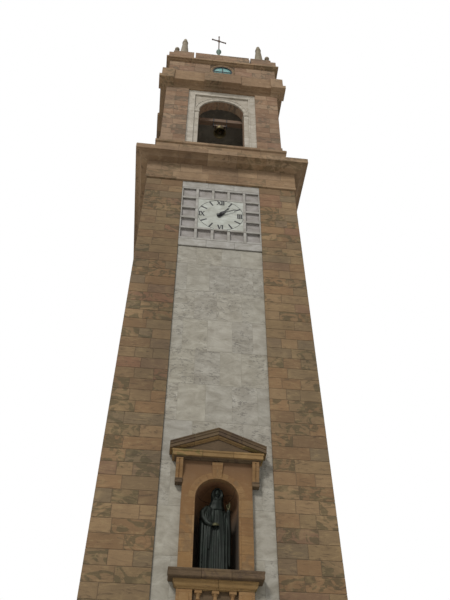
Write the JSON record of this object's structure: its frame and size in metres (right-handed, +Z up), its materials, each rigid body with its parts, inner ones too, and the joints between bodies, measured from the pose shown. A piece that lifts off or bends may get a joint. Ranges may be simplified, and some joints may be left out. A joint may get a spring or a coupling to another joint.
{
  "type": "bell tower",
  "caption": "Square sandstone and travertine bell tower: battered shaft with statue niche and clock, open belfry with a swinging bell, attic, corner pinnacles, pyramid roof and cross.",
  "frame": {"origin": "centre of the foot of the tower, at ground level", "axes": "+Z up; the front with the niche and the clock faces -Y; +X is to the right of someone who faces the front"},
  "size_m": [6.1, 6.1, 38.28],
  "materials": {
    "sandstone": "coursed sandstone, varied blocks",
    "travertine": "pitted pale travertine slabs",
    "carved_sandstone": "dressed sandstone mouldings",
    "pale_stone": "dressed pale stone",
    "floor_stone": "plain slab",
    "dial_stone": "smooth pale slab",
    "pinnacle_stone": "weathered stone",
    "roof_stone": "stone slabs",
    "statue_bronze": "dark patinated bronze",
    "bell_bronze": "dull cast bronze",
    "black_iron": "black paint",
    "clapper_iron": "bare iron",
    "cross_iron": "weathered iron and verdigris",
    "door_timber": "brown boards",
    "beam_timber": "weathered timber",
    "window_glass": "dull blue-green glass"
  },
  "bodies": {
    "tower": {"plinth": "sandstone", "floors": "floor_stone", "corner_pier_front_left": "sandstone", "corner_pier_front_right": "sandstone", "corner_pier_back_left": "sandstone", "corner_pier_back_right": "sandstone", "front_panel_lower": "travertine", "front_panel_beside_niche": "travertine", "front_panel_upper": "travertine", "clock_panel": "travertine", "left_panel": "travertine", "right_panel": "travertine", "back_panel": "travertine", "door_frame": "carved_sandstone", "door": "door_timber", "apron": "carved_sandstone", "balusters": "carved_sandstone", "sill": "carved_sandstone", "niche": "carved_sandstone", "niche_frame": "carved_sandstone", "keystone": "carved_sandstone", "consoles": "carved_sandstone", "pediment": "carved_sandstone", "statue": "statue_bronze", "clock_dial": "dial_stone", "clock_spindle": "black_iron", "frieze": "sandstone", "main_cornice": "sandstone", "belfry_base": "sandstone", "belfry_piers": "sandstone", "arch_wall_front": "pale_stone", "arch_wall_back": "pale_stone", "arch_wall_left": "pale_stone", "arch_wall_right": "pale_stone", "arch_frames": "pale_stone", "belfry_cornice": "sandstone", "attic": "sandstone", "attic_windows": "window_glass", "parapet": "sandstone", "pinnacles": "pinnacle_stone", "roof": "roof_stone", "cross": "cross_iron", "bell_beam": "beam_timber", "bell_hangers": "black_iron"},
    "hour_hand": {"hour_hand": "black_iron"},
    "minute_hand": {"minute_hand": "black_iron"},
    "bell": {"headstock": "beam_timber", "bell": "bell_bronze"},
    "clapper": {"clapper": "clapper_iron"}
  },
  "joints": [
    {"name": "minute_hand_turn", "type": "hinge", "parent": "tower", "child": "minute_hand", "pos_m": [0, -2.613, 19.76], "axis": [0, 1, 0], "continuous": true},
    {"name": "hour_hand_turn", "type": "hinge", "parent": "tower", "child": "hour_hand", "pos_m": [0, -2.575, 19.76], "axis": [0, 1, 0], "continuous": true},
    {"name": "bell_swing", "type": "hinge", "parent": "tower", "child": "bell", "pos_m": [0, -1.58, 26.7], "axis": [1, 0, 0], "range_deg": [-50, 50]},
    {"name": "clapper_swing", "type": "hinge", "parent": "bell", "child": "clapper", "pos_m": [0, -1.58, 26.5334], "axis": [1, 0, 0], "range_deg": [-28, 28]}
  ],
  "couplings": [
    {"joint": "hour_hand_turn", "follows": "minute_hand_turn", "ratio": 0.083333}
  ]
}
